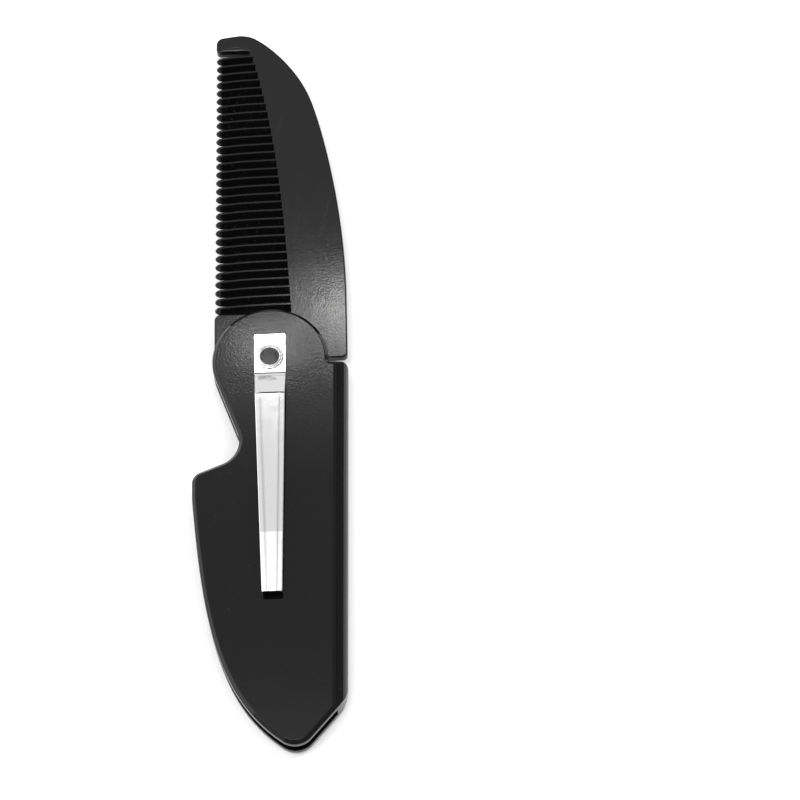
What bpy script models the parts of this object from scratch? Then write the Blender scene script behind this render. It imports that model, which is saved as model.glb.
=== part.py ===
"""Folding comb: a moulded case with two cheeks, a comb that swings out of it about a
tubular rivet, and a sprung steel pocket clip that the same rivet holds.

Metres, Z up. The case lies flat with its spine along Y, and the comb is swung open
towards +Y with its teeth towards -X. The origin is under the middle of the open
object's box, on the surface that it lies on. Outlines are drawn about the rivet.
"""
import math

import bmesh
import bpy
from mathutils import Vector
from mathutils.geometry import interpolate_bezier

MM = 0.001

# Case: two cheeks joined by a web along the spine, 7 mm thick, 34 mm wide, 102 mm long
CASE_THICK = 7.0 * MM
CHEEK_THICK = 2.15 * MM
CASE_EDGE = 0.9 * MM
HUB_RADIUS = 13.0 * MM
SPINE_X = 17.4 * MM
WEB_THICK = 2.2 * MM
BELLY_X = -16.6 * MM
CASE_END_Y = -89.4 * MM

# Case outline about the rivet: rounded corners are (x, y, radius)
HUB_END = 200.0
SHOULDER_Y = -0.5 * MM
SHOULDER_RADIUS = 1.1 * MM
NOTCH_FLOOR = (-4.94 * MM, -23.08 * MM, 5.87 * MM)
NOTCH_LIP = (-16.81 * MM, -27.97 * MM, 2.78 * MM)
BELLY_START = (BELLY_X, -33.8 * MM)
BELLY_START_WAY = (0.105, -1.0)
BELLY_START_PULL = 28.5 * MM
BELLY_END = (3.6 * MM, -88.74 * MM)
BELLY_END_WAY = (0.82, -0.572)
BELLY_END_PULL = 16.5 * MM
CASE_POINT = (7.13 * MM, -91.2 * MM, 4.5 * MM)
CHAMFER_Y = -79.15 * MM
CHAMFER_RADIUS = 7.0 * MM

# Comb: a 2.1 mm plate with its edges eased, swung open 1 degree past the spine's line
COMB_THICK = 2.1 * MM
COMB_LEAN = math.radians(1.02)
COMB_TOP_Y = 88.7 * MM
BACK_X = 17.25 * MM
TIP_X = -12.7 * MM
COMB_EDGE = 0.35 * MM

# Comb outline about the rivet: a straight heel, a bowed back, and a crown down to the guard
HEEL_Y = 1.3 * MM
HEEL_RADIUS = 1.1 * MM
BACK_START_Y = 16.6 * MM
BACK_START_PULL = 23.8 * MM
BACK_END = (9.65 * MM, 69.94 * MM)
BACK_END_WAY = (-0.311, 0.927)
BACK_END_PULL = 7.5 * MM
CROWN_START_PULL = 10.9 * MM
CROWN_END = (-5.04 * MM, 88.34 * MM)
CROWN_END_WAY = (-1.0, 0.22)
CROWN_END_PULL = 2.7 * MM
GUARD_TOP = (-6.9 * MM, COMB_TOP_Y, 6.0 * MM)
GUARD_CORNER = (-12.75 * MM, 87.85 * MM, 1.9 * MM)
GUARD_LOWER = (-12.75 * MM, 83.7 * MM, 1.2 * MM)
GUARD_ROOT = (-4.6 * MM, 83.85 * MM, 0.4 * MM)
BLOCK_INNER = (4.3 * MM, 13.0 * MM)
BLOCK_CORNER = (-12.75 * MM, 13.0 * MM, 1.4 * MM)

# Root line of the teeth: x falls from 4.6 mm by the block to -4.3 mm at the guard
ROOT_START = (4.6 * MM, 13.0 * MM)
ROOT_RUN = 69.0 * MM
ROOT_FALL = 4.1 * MM
ROOT_BOW = 4.8 * MM
ROOT_STRETCHES = 8

# Teeth: 31 of them at a pitch of 2.25 mm, 9 to 17 mm long, with a blunt rounded nose
TOOTH_COUNT = 31
TOOTH_PITCH = 2.25 * MM
FIRST_GAP_Y = 13.24 * MM
TOOTH_DROOP = math.radians(0.9)
TOOTH_SUNK = 1.2 * MM
TOOTH_WIDTH = 1.58 * MM
TOOTH_ROOT_WIDTH = 1.70 * MM
TOOTH_HEIGHT = 2.06 * MM
TOOTH_FLAT = 0.7 * MM
TOOTH_SLOPE = 0.75 * MM
NOSE_LENGTH = 1.5 * MM
NOSE_STEPS = (0.0, 0.09, 0.25, 0.5, 1.0)
NOSE_BLUNT = 0.28

# Rivet: a steel tube with a rolled rim at each end, through a 5.4 mm bore
BORE_RADIUS = 2.7 * MM
TUBE_RADIUS = 2.4 * MM
TUBE_INNER = 2.1 * MM
RIM_RADIUS = 3.0 * MM
RIM_HEIGHT = 0.5 * MM
SEAT_RADIUS = 3.4 * MM
SEAT_DEPTH = 0.9 * MM

# Clip: 0.8 mm strip, 62.1 mm long, turned 1.35 degrees so that its tip nears the spine
CLIP_THICK = 0.8 * MM
CLIP_TURN = math.radians(1.35)
CLIP_TOP_Y = 5.8 * MM
CLIP_STEP_Y = -4.0 * MM
CLIP_STEP_RADIUS = 1.6 * MM
CLIP_ARM_Y = -10.0 * MM
CLIP_ARM_RADIUS = 2.0 * MM
CLIP_TIP_Y = -56.3 * MM
CLIP_HALF_TOP = 3.8 * MM
CLIP_HALF_ARM = 3.3 * MM
CLIP_HALF_TIP = 2.2 * MM
CLIP_RISE = 2.3 * MM
CLIP_FALL = 0.7 * MM
CLIP_FLANK = 1.1 * MM
CLIP_FLANK_DROP = 0.35 * MM
FLANK_MIDDLE_SHARE = 0.45

# Clearance between pieces, how far a cutter reaches, and how finely outlines are drawn
GAP = 0.3 * MM
SKIM = 0.02 * MM
REACH = 150.0 * MM
LEAST_STEP = 0.2 * MM
ROUND_STEPS = 48
RIM_STEPS = 8

RIVET = Vector((-(SPINE_X + BELLY_X) / 2, -(CASE_END_Y + COMB_TOP_Y) / 2, 0.0))
MID_Z = CASE_THICK / 2


def arc(centre, radius, start, end, step=9.0):
    """Points along an arc about a centre; the angles are in degrees."""
    count = max(2, math.ceil(abs(end - start) / step))
    angles = [math.radians(start + (end - start) * i / count) for i in range(count + 1)]
    return [(centre[0] + radius * math.cos(a), centre[1] + radius * math.sin(a)) for a in angles]


def fillet(before, corner, after, radius, step=12.0):
    """Points of the arc that rounds a corner between its two neighbours."""
    corner = Vector(corner)
    u = (Vector(before) - corner).normalized()
    v = (Vector(after) - corner).normalized()
    half = u.angle(v) / 2
    centre = corner + (u + v).normalized() * radius / math.sin(half)
    first = corner + u * radius / math.tan(half) - centre
    last = corner + v * radius / math.tan(half) - centre
    turn = math.degrees(-first.angle_signed(last))
    start = math.degrees(math.atan2(first.y, first.x))
    return arc(centre, radius, start, start + turn, step)


def rounded(corners, closed=True):
    """An outline from (x, y) points, or (x, y, radius) ones for its rounded corners."""
    points = []
    last = len(corners) - 1
    for i, corner in enumerate(corners):
        end = not closed and i in (0, last)
        if len(corner) == 2 or end:
            points.append(corner[:2])
        else:
            before = corners[i - 1][:2]
            after = corners[(i + 1) % len(corners)][:2]
            points.extend(fillet(before, corner[:2], after, corner[2]))
    return spaced(points)


def spaced(points):
    """The outline without the points that lie too near the one before."""
    kept = points[:1]
    for point in points[1:]:
        if math.dist(point, kept[-1]) > LEAST_STEP:
            kept.append(point)
    return kept


def bend(start, start_way, start_pull, end, end_way, end_pull, count):
    """Points of a smooth bend between two places, leaving and arriving along given ways."""
    a = Vector(start)
    b = Vector(end)
    near = a + Vector(start_way).normalized() * start_pull
    far = b - Vector(end_way).normalized() * end_pull
    points = interpolate_bezier(a.to_3d(), near.to_3d(), far.to_3d(), b.to_3d(), count)
    return [(p.x, p.y) for p in points]


def material(name, colour, roughness, metallic):
    made = bpy.data.materials.new(name)
    made.use_nodes = True
    shader = made.node_tree.nodes["Principled BSDF"]
    shader.inputs["Base Color"].default_value = (*colour, 1.0)
    shader.inputs["Roughness"].default_value = roughness
    shader.inputs["Metallic"].default_value = metallic
    return made


def black_plastic():
    return material("black_plastic", (0.018, 0.018, 0.019), 0.42, 0.0)


def plated_steel():
    return material("plated_steel", (0.78, 0.79, 0.80), 0.16, 1.0)


def new_object(name, mesh, group, place=Vector(), turn=0.0):
    made = bpy.data.objects.new(name, mesh)
    made.location = place
    made.rotation_euler.z = turn
    group.objects.link(made)
    return made


def as_cutter(made):
    made.hide_render = True
    made.display_type = 'WIRE'
    return made


def slab(name, outline, thick):
    """A flat outline filled and extruded about Z = 0, as a welded mesh."""
    curve = bpy.data.curves.new(name, 'CURVE')
    curve.dimensions = '2D'
    curve.fill_mode = 'BOTH'
    curve.extrude = thick / 2
    spline = curve.splines.new('POLY')
    spline.points.add(len(outline) - 1)
    for point, (x, y) in zip(spline.points, outline):
        point.co = (x, y, 0.0, 1.0)
    spline.use_cyclic_u = True
    drawn = bpy.data.objects.new(name, curve)
    bpy.context.scene.collection.objects.link(drawn)
    evaluated = drawn.evaluated_get(bpy.context.evaluated_depsgraph_get())
    mesh = bpy.data.meshes.new_from_object(evaluated)
    bpy.data.objects.remove(drawn)
    work = bmesh.new()
    work.from_mesh(mesh)
    bmesh.ops.remove_doubles(work, verts=work.verts, dist=0.001 * MM)
    caps = [face for face in work.faces if abs(face.normal.z) > 0.9]
    cap_edges = {edge for face in caps for edge in face.edges}
    inner = [edge for edge in cap_edges if all(face in caps for face in edge.link_faces)]
    bmesh.ops.dissolve_edges(work, edges=inner)
    bmesh.ops.recalc_face_normals(work, faces=work.faces)
    work.to_mesh(mesh)
    work.free()
    return mesh


def cylinder(name, radius, bottom, top, group):
    """An upright cutter about the rivet's axis, from one height to another."""
    mesh = bpy.data.meshes.new(name)
    work = bmesh.new()
    bmesh.ops.create_cone(work, cap_ends=True, segments=ROUND_STEPS, radius1=radius,
                          radius2=radius, depth=top - bottom)
    bmesh.ops.translate(work, verts=work.verts, vec=(0.0, 0.0, (top + bottom) / 2))
    work.to_mesh(mesh)
    work.free()
    return as_cutter(new_object(name, mesh, group, RIVET))


def box(name, low, high, group):
    """A cutter between two corners, given about the rivet."""
    mesh = bpy.data.meshes.new(name)
    work = bmesh.new()
    bmesh.ops.create_cube(work, size=1.0)
    size = Vector(high) - Vector(low)
    bmesh.ops.scale(work, verts=work.verts, vec=size)
    bmesh.ops.translate(work, verts=work.verts, vec=(Vector(low) + Vector(high)) / 2)
    work.to_mesh(mesh)
    work.free()
    return as_cutter(new_object(name, mesh, group, RIVET))


def boolean(made, operation, other):
    step = made.modifiers.new(f"{operation.lower()}_{other.name}", 'BOOLEAN')
    step.operation = operation
    step.solver = 'EXACT'
    step.object = other


def round_edges(made, width, segments, limit='ANGLE'):
    step = made.modifiers.new("round_edges", 'BEVEL')
    step.width = width
    step.segments = segments
    step.limit_method = limit
    step.angle_limit = math.radians(50)
    step.use_clamp_overlap = False


def shade(mesh, degrees=35.0):
    mesh.shade_smooth()
    mesh.set_sharp_from_angle(angle=math.radians(degrees))


def case_outline():
    """Round hub, straight flank, thumb notch, long curved belly, chamfered end, straight
    spine, and the shoulder that the comb's heel closes against."""
    shoulder_angle = math.degrees(math.asin(SHOULDER_Y / HUB_RADIUS))
    hub = arc((0.0, 0.0), HUB_RADIUS, shoulder_angle, HUB_END, 6.0)
    belly = bend(BELLY_START, BELLY_START_WAY, BELLY_START_PULL,
                 BELLY_END, BELLY_END_WAY, BELLY_END_PULL, 26)
    chamfer = (SPINE_X, CHAMFER_Y, CHAMFER_RADIUS)
    shoulder = (SPINE_X, SHOULDER_Y, SHOULDER_RADIUS)
    return rounded(hub + [NOTCH_FLOOR, NOTCH_LIP] + belly + [CASE_POINT, chamfer, shoulder])


def case(group, cutters):
    mesh = slab("case", case_outline(), CASE_THICK)
    made = new_object("case", mesh, group, RIVET + Vector((0.0, 0.0, MID_Z)))
    round_edges(made, CASE_EDGE, 3)
    boolean(made, 'INTERSECT', spine_bar(cutters))
    web_x = SPINE_X - WEB_THICK
    low = (-REACH, -REACH, CHEEK_THICK)
    high = (web_x, REACH, CASE_THICK - CHEEK_THICK)
    boolean(made, 'DIFFERENCE', box("slot", low, high, cutters))
    bore = cylinder("case_bore", BORE_RADIUS, -REACH, REACH, cutters)
    boolean(made, 'DIFFERENCE', bore)
    seat = cylinder("rivet_seat", SEAT_RADIUS, -REACH, SEAT_DEPTH, cutters)
    boolean(made, 'DIFFERENCE', seat)
    shade(mesh)
    mesh.materials.append(black_plastic())
    return made


def spine_bar(cutters):
    """A long bar a hair thicker than the case, whose +X side is a half round: the spine."""
    low = (-REACH, -REACH, -SKIM)
    high = (SPINE_X, REACH, CASE_THICK + SKIM)
    bar = box("spine_round", low, high, cutters)
    weights = bar.data.attributes.new("bevel_weight_edge", 'FLOAT', 'EDGE')
    for edge, weight in zip(bar.data.edges, weights.data):
        ends = [bar.data.vertices[i].co for i in edge.vertices]
        on_spine = min(end.x for end in ends) > SPINE_X - SKIM
        weight.value = float(on_spine and abs(ends[0].y - ends[1].y) > REACH)
    round_edges(bar, CASE_THICK / 2, 7, 'WEIGHT')
    return bar


def comb_outline():
    """Heel, bowed back, pointed top, end guard, root line of the teeth, heel block and hub.
    The teeth themselves are joined on."""
    hub = -TIP_X
    heel_angle = math.degrees(math.asin(HEEL_Y / hub))
    back = bend((BACK_X, BACK_START_Y), (0.0, 1.0), BACK_START_PULL,
                BACK_END, BACK_END_WAY, BACK_END_PULL, 17)
    crown = bend(BACK_END, BACK_END_WAY, CROWN_START_PULL,
                 CROWN_END, CROWN_END_WAY, CROWN_END_PULL, 12)
    guard = [GUARD_TOP, GUARD_CORNER, GUARD_LOWER, GUARD_ROOT]
    step = ROOT_RUN / ROOT_STRETCHES
    roots = [root_point(ROOT_START[1] + step * i) for i in range(ROOT_STRETCHES, 0, -1)]
    disc = arc((0.0, 0.0), hub, 180.0, 360.0 + heel_angle, 7.0)
    heel = (BACK_X, HEEL_Y, HEEL_RADIUS)
    return rounded(back + crown[1:] + guard + roots + [BLOCK_INNER, BLOCK_CORNER] + disc + [heel])


def root_point(y):
    """A place on the root line, which bows more and more towards the guard."""
    along = (y - ROOT_START[1]) / ROOT_RUN
    return (ROOT_START[0] - ROOT_FALL * along - ROOT_BOW * along ** 3, y)


def comb(group, cutters):
    mesh = slab("comb", comb_outline(), COMB_THICK)
    made = new_object("comb", mesh, group, RIVET + Vector((0.0, 0.0, MID_Z)), COMB_LEAN)
    round_edges(made, COMB_EDGE, 2)
    boolean(made, 'UNION', teeth(cutters))
    bore = cylinder("comb_bore", BORE_RADIUS, -REACH, REACH, cutters)
    boolean(made, 'DIFFERENCE', bore)
    shade(mesh)
    mesh.materials.append(black_plastic())
    return made


def teeth(cutters):
    """All the teeth in one mesh, each standing in from the line of their tips."""
    work = bmesh.new()
    for i in range(TOOTH_COUNT):
        tip_y = FIRST_GAP_Y + TOOTH_PITCH * (i + 1 / 2)
        root_x = root_point(tip_y)[0] + TOOTH_SUNK
        tooth(work, tip_y, root_x)
    bmesh.ops.recalc_face_normals(work, faces=work.faces)
    mesh = bpy.data.meshes.new("teeth")
    work.to_mesh(mesh)
    work.free()
    place = RIVET + Vector((0.0, 0.0, MID_Z))
    return as_cutter(new_object("teeth", mesh, cutters, place, COMB_LEAN))


def tooth(work, tip_y, root_x):
    """An upright section with cut corners, extruded from the rounded nose to the root."""
    stations = []
    for along in NOSE_STEPS:
        grown = max(NOSE_BLUNT, math.sqrt(1 - (1 - along) ** 2))
        stations.append((NOSE_LENGTH * along, TOOTH_WIDTH * grown, TOOTH_HEIGHT * grown))
    stations.append((root_x - TIP_X, TOOTH_ROOT_WIDTH, TOOTH_HEIGHT))
    corners = tooth_section()
    section = bmesh.ops.create_circle(work, cap_ends=True, segments=len(corners), radius=1.0)["verts"]
    for vert, (side, level) in zip(section, corners):
        vert.co = (0.0, side, level)
    face = section[0].link_faces[0]
    verts = list(section)
    for station in range(1, len(stations)):
        grown = bmesh.ops.extrude_face_region(work, geom=[face])["geom"]
        if station > 1:
            bmesh.ops.delete(work, geom=[face], context='FACES_ONLY')
        section = [part for part in grown if isinstance(part, bmesh.types.BMVert)]
        bmesh.ops.translate(work, verts=section, vec=(1.0, 0.0, 0.0))
        face = next(part for part in grown if isinstance(part, bmesh.types.BMFace))
        verts.extend(section)
    for vert in verts:
        reach, wide, high = stations[round(vert.co.x)]
        lift = math.tan(TOOTH_DROOP) * reach
        vert.co = (TIP_X + reach, tip_y + lift + vert.co.y * wide / 2, vert.co.z * high / 2)


def tooth_section():
    """The eight corners of a tooth's section, for a width and a height of 2."""
    side = TOOTH_FLAT / TOOTH_WIDTH
    level = 1 - 2 * TOOTH_SLOPE / TOOTH_HEIGHT
    quarter = [(1, level), (side, 1)]
    half = quarter + [(-x, z) for x, z in reversed(quarter)]
    return half + [(-x, -z) for x, z in half]


def clip(group, cutters):
    """A strip swept along its bent side line, then given its thickness and its hole."""
    step = (CLIP_STEP_Y, 0.0, CLIP_STEP_RADIUS)
    arm = (CLIP_ARM_Y, CLIP_RISE, CLIP_ARM_RADIUS)
    tip = (CLIP_TIP_Y, CLIP_RISE - CLIP_FALL)
    line = rounded([(CLIP_TOP_Y, 0.0), step, arm, tip], closed=False)
    outward = (1.0, FLANK_MIDDLE_SHARE, 0.0, 0.0, FLANK_MIDDLE_SHARE, 1.0)
    across = len(outward) - 1
    mesh = bpy.data.meshes.new("clip")
    work = bmesh.new()
    bmesh.ops.create_grid(work, x_segments=across, y_segments=len(line) - 1, size=1.0)
    for vert in work.verts:
        column = round((vert.co.x + 1) / 2 * across)
        row = len(line) - 1 - round((vert.co.y + 1) / 2 * (len(line) - 1))
        y, z = line[row]
        half = clip_half_width(y)
        steps = (-half, -half + CLIP_FLANK / 2, -half + CLIP_FLANK, half - CLIP_FLANK,
                 half - CLIP_FLANK / 2, half)
        drop = outward[column] * CLIP_FLANK_DROP * clip_pressed(y)
        vert.co = (steps[column], y, z - drop)
    bmesh.ops.recalc_face_normals(work, faces=work.faces)
    work.to_mesh(mesh)
    work.free()
    top = CASE_THICK + GAP + CLIP_THICK
    made = new_object("clip", mesh, group, RIVET + Vector((0.0, 0.0, top)), CLIP_TURN)
    sheet = made.modifiers.new("sheet", 'SOLIDIFY')
    sheet.thickness = CLIP_THICK
    sheet.offset = -1.0
    hole = cylinder("clip_hole", BORE_RADIUS, CASE_THICK - GAP, top + GAP, cutters)
    boolean(made, 'DIFFERENCE', hole)
    shade(mesh)
    mesh.materials.append(plated_steel())
    return made


def clip_half_width(y):
    """Half the strip's width: 3.8 mm at the rivet, 3.3 mm where the arm starts, 2.2 mm
    at the tip."""
    if y > CLIP_ARM_Y:
        along = (CLIP_TOP_Y - y) / (CLIP_TOP_Y - CLIP_ARM_Y)
        return CLIP_HALF_TOP + (CLIP_HALF_ARM - CLIP_HALF_TOP) * along
    along = (CLIP_ARM_Y - y) / (CLIP_ARM_Y - CLIP_TIP_Y)
    return CLIP_HALF_ARM + (CLIP_HALF_TIP - CLIP_HALF_ARM) * along


def clip_pressed(y):
    """How far the arm's two flanks are pressed down: not at all at the rivet, fully on
    the arm."""
    return min(1.0, max(0.0, (CLIP_STEP_Y - y) / (CLIP_STEP_Y - CLIP_ARM_Y)))


def rim(height, rise):
    """Half of a rolled rim, from the tube's bore out to the rim's edge."""
    middle = (TUBE_INNER + RIM_RADIUS) / 2
    half = (RIM_RADIUS - TUBE_INNER) / 2
    angles = [math.pi * (1 - i / RIM_STEPS) for i in range(RIM_STEPS + 1)]
    return [(middle + half * math.cos(a), height + rise * math.sin(a)) for a in angles]


def eyelet(group):
    """The rivet: its wall and two rims drawn as one closed profile and turned about Z."""
    under_rim = CASE_THICK + 2 * GAP + CLIP_THICK
    over_rim = SEAT_DEPTH - GAP
    profile = rim(under_rim, RIM_HEIGHT)
    profile += [(TUBE_RADIUS, under_rim), (TUBE_RADIUS, over_rim)]
    profile += reversed(rim(over_rim, -RIM_HEIGHT))
    mesh = bpy.data.meshes.new("eyelet")
    work = bmesh.new()
    verts = [work.verts.new((radius, 0.0, z)) for radius, z in profile]
    for first, second in zip(verts, verts[1:] + verts[:1]):
        work.edges.new((first, second))
    work.to_mesh(mesh)
    work.free()
    made = new_object("eyelet", mesh, group, RIVET)
    turned = made.modifiers.new("turned", 'SCREW')
    turned.steps = ROUND_STEPS
    turned.render_steps = ROUND_STEPS
    turned.use_merge_vertices = False
    mesh.materials.append(plated_steel())
    return made


def main():
    for old in list(bpy.data.objects):
        bpy.data.objects.remove(old)
    group = bpy.data.collections.new("folding_comb")
    cutters = bpy.data.collections.new("cutters")
    for made in (group, cutters):
        bpy.context.scene.collection.children.link(made)
    case(group, cutters)
    comb(group, cutters)
    clip(group, cutters)
    eyelet(group)


main()
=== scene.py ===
"""A folding comb on a white table: its moulded case, the comb swung out of it, the sprung
steel clip and the tubular rivet, with their finishes, the light and the camera.

Shapes are worked out in mm about the rivet's axis, with z = 0 on the table.
"""
import math

import bpy
import numpy as np
from mathutils import Matrix, Vector
from mathutils.geometry import tessellate_polygon


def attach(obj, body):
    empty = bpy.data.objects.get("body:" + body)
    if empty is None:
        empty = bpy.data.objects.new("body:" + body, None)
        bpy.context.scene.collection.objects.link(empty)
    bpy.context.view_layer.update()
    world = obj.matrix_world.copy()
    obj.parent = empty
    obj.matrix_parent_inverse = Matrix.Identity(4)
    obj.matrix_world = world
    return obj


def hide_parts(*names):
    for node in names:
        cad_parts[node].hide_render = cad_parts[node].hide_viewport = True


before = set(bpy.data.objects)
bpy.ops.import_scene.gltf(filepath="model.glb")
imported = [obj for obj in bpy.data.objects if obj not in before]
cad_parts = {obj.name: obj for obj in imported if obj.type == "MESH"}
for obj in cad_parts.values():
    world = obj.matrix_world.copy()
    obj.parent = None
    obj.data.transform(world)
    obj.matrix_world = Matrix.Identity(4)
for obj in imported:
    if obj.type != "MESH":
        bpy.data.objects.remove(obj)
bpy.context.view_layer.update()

# The rivet's axis, the middle height of case and comb, the bore that the rivet goes through,
# the points round a hole, and how many cells a mm has when points are welded
MM = 0.001
RIVET = np.array([-0.4, 0.35, 0.0])
MIDDLE = 3.5
BORE = 2.7
ROUND_STEPS = 64
WELD_CELLS = 5000


def turned(points, degrees):
    """Plane points turned about the rivet: x and y mixed by the angle's cosine and sine."""
    c, s = math.cos(math.radians(degrees)), math.sin(math.radians(degrees))
    x, y = points[..., 0], points[..., 1]
    return np.concatenate([np.stack([c * x - s * y, s * x + c * y], -1), points[..., 2:]], -1)


def arc(centre, radius, start, end, count):
    """Centre plus radius times the cosine and sine of evenly spaced angles, in degrees."""
    angle = np.radians(np.linspace(start, end, count))
    return np.stack([centre[0] + radius * np.cos(angle), centre[1] + radius * np.sin(angle)], 1)


def line(start, end, count):
    """Evenly spaced points between two places."""
    return np.linspace(np.array(start, float), np.array(end, float), count)


def fillet(before, corner, after, radius, count):
    """The arc that touches both sides of a corner: its centre lies on the halving line, at
    the radius divided by the sine of half the angle."""
    before, corner, after = (np.array(p, float) for p in (before, corner, after))
    u = (before - corner) / np.linalg.norm(before - corner)
    v = (after - corner) / np.linalg.norm(after - corner)
    half = math.acos(np.clip(u @ v, -1, 1)) / 2
    centre = corner + (u + v) / np.linalg.norm(u + v) * radius / math.sin(half)
    first = corner + u * radius / math.tan(half) - centre
    last = corner + v * radius / math.tan(half) - centre
    start = math.degrees(math.atan2(first[1], first[0]))
    sweep = math.atan2(first[0] * last[1] - first[1] * last[0], first @ last)
    return arc(centre, radius, start, start + math.degrees(sweep), count)


def bend(start, start_way, start_pull, end, end_way, end_pull, count):
    """A cubic curve whose two inner control points lie along the ways at its ends."""
    a, d = np.array(start, float), np.array(end, float)
    b = a + np.array(start_way) / np.linalg.norm(start_way) * start_pull
    c = d - np.array(end_way) / np.linalg.norm(end_way) * end_pull
    t = np.linspace(0, 1, count)[:, None]
    return a * (1 - t) ** 3 + 3 * b * t * (1 - t) ** 2 + 3 * c * t ** 2 * (1 - t) + d * t ** 3


def inward(path):
    """Unit normals to the left of a closed path, from the mean of its two edges at each
    point."""
    edge = np.roll(path, -1, 0) - path
    edge /= np.linalg.norm(edge, axis=1)[:, None]
    along = edge + np.roll(edge, 1, 0)
    along /= np.linalg.norm(along, axis=1)[:, None]
    return np.stack([-along[:, 1], along[:, 0]], 1)


def spread(path, least):
    """The path without points that lie nearer than the least step to the one before."""
    step = np.linalg.norm(path - np.roll(path, 1, 0), axis=1)
    return path[step > least]


def eased(share):
    """A share held within 0 to 1 and eased at both ends: 3 times its square less 2 times
    its cube."""
    share = np.clip(share, 0, 1)
    return share * share * (3 - 2 * share)


class Skin:
    """Patches gathered into one welded mesh that keeps the normals each patch brings."""

    def __init__(self):
        self.places, self.normals, self.corners, self.count = [], [], [], 0

    def add(self, places, normals, corners):
        self.places.append(places.reshape(-1, 3))
        self.normals.append(np.broadcast_to(normals, places.shape).reshape(-1, 3))
        self.corners.append(np.asarray(corners).reshape(-1, 3) + self.count)
        self.count += len(self.places[-1])

    def grid(self, places, normals):
        """Rows by columns of points joined by triangle pairs, wound to face their normals."""
        rows, columns = places.shape[:2]
        n = np.arange(rows * columns).reshape(rows, columns)
        a, b, c, d = n[:-1, :-1], n[:-1, 1:], n[1:, 1:], n[1:, :-1]
        corners = np.concatenate([np.stack([a, b, c], -1).reshape(-1, 3),
                                  np.stack([a, c, d], -1).reshape(-1, 3)])
        self.add(places, normals, corners)

    def flat(self, outer, holes, heights, normals):
        """A region of the plane between an outer loop and holes, each point at its height."""
        loops = [outer] + list(holes)
        flat = np.concatenate(loops)
        found = tessellate_polygon([[Vector((x, y, 0.0)) for x, y in loop] for loop in loops])
        self.add(np.column_stack([flat, np.broadcast_to(heights, len(flat))]), normals, found)

    def turn(self, degrees):
        self.places = [turned(p, degrees) for p in self.places]
        self.normals = [turned(n, degrees) for n in self.normals]

    def mesh(self, name):
        """One mesh, moved from about the rivet to the frame: points in the same cell of
        1/5000 mm are welded, and triangles are wound to face their normals."""
        places = np.concatenate(self.places)
        normals = np.concatenate(self.normals)
        corners = np.concatenate(self.corners)
        cell = np.round(places * WELD_CELLS).astype(np.int64)
        kept, same = np.unique(cell, axis=0, return_index=True, return_inverse=True)[1:]
        welded = same.reshape(-1)[corners]
        real = (welded != np.roll(welded, 1, 1)).all(1)
        welded, corners = welded[real], corners[real]
        spots = places[kept]
        a, b, c = np.moveaxis(spots[welded], 1, 0)
        facing = np.cross(b - a, c - a)
        wrong = np.einsum("ij,ij->i", facing, normals[corners].sum(1)) < 0
        welded[wrong] = welded[wrong][:, ::-1]
        corners[wrong] = corners[wrong][:, ::-1]
        made = bpy.data.meshes.new(name)
        made.from_pydata(((spots + RIVET) * MM).tolist(), [], welded.tolist(), shade_flat=False)
        split = normals[corners.reshape(-1)]
        split /= np.maximum(np.linalg.norm(split, axis=1), 1e-9)[:, None]
        made.normals_split_custom_set(split.tolist())
        return made


def piece(name, skin, finish, body, node):
    """A visible piece that rides on a body and stands for one of its solids."""
    mesh = skin.mesh(name)
    mesh.materials.append(finish)
    made = bpy.data.objects.new(name, mesh)
    bpy.context.scene.collection.objects.link(made)
    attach(made, body)
    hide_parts(node)


def ring(radius):
    """A circle about the rivet, whose last point isn't its first again."""
    return arc((0, 0), radius, 0, 360 * (ROUND_STEPS - 1) / ROUND_STEPS, ROUND_STEPS)


def bore(skin, radius, low, high):
    """A round wall that faces the rivet's axis: radius times cosine and sine, between two
    heights."""
    loop = arc((0, 0), radius, 0, 360, ROUND_STEPS + 1)
    places = np.stack([np.column_stack([loop, np.full(len(loop), z)]) for z in (low, high)])
    places[:, -1] = places[:, 0]
    way = np.column_stack([-loop / radius, np.zeros(len(loop))])
    skin.grid(places, np.stack([way, way]))


# Case: the flat along its edge ends EDGE in and down, and its bends have the radius BEND.
# The slot's edge is eased by SLOT_EDGE, which fades over SLOT_FADE towards the web.
THICK, CHEEK, EDGE, BEND = 7.0, 2.15, 0.9, 0.3
SLOT_EDGE, SLOT_FADE = 0.16, 1.2
SPINE_X, WEB_X, ROUND = 17.4, 15.2, 3.5
FLAT_X = SPINE_X - ROUND
HUB, SHOULDER_Y = 13.0, -0.5
SEAT, SEAT_DEPTH = 3.4, 0.9


def edge_profile():
    """Across the case's edge: a wall turned in, a flat at 45 degrees and a turn onto the
    cheek, each turn of radius 0.3 mm. Shares along it, insets, rises and angles."""
    low, high = np.radians(np.linspace(0, 45, 7)), np.radians(np.linspace(45, 90, 7))
    inset = np.concatenate([BEND * (1 - np.cos(low)), EDGE - BEND * np.cos(high)])
    rise = np.concatenate([BEND * np.sin(low), EDGE - BEND + BEND * np.sin(high)])
    return np.linspace(0, 1, 14), inset, rise, np.concatenate([low, high])


def spine_height(x):
    """The half round of the spine: middle height plus the root of radius squared less the
    distance past the flat squared."""
    past = np.clip(x - FLAT_X, 0, ROUND)
    return MIDDLE + np.sqrt(np.maximum(ROUND ** 2 - past ** 2, 0))


def spine_way(x, rise):
    """The half round's normal: the distance past the flat over the radius in x, and the root
    of 1 less its square in z."""
    tilt = np.clip((x - FLAT_X) / ROUND, 0, 1)
    return np.stack([tilt, np.zeros_like(tilt), np.sqrt(1 - tilt ** 2) * rise], -1)


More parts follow.
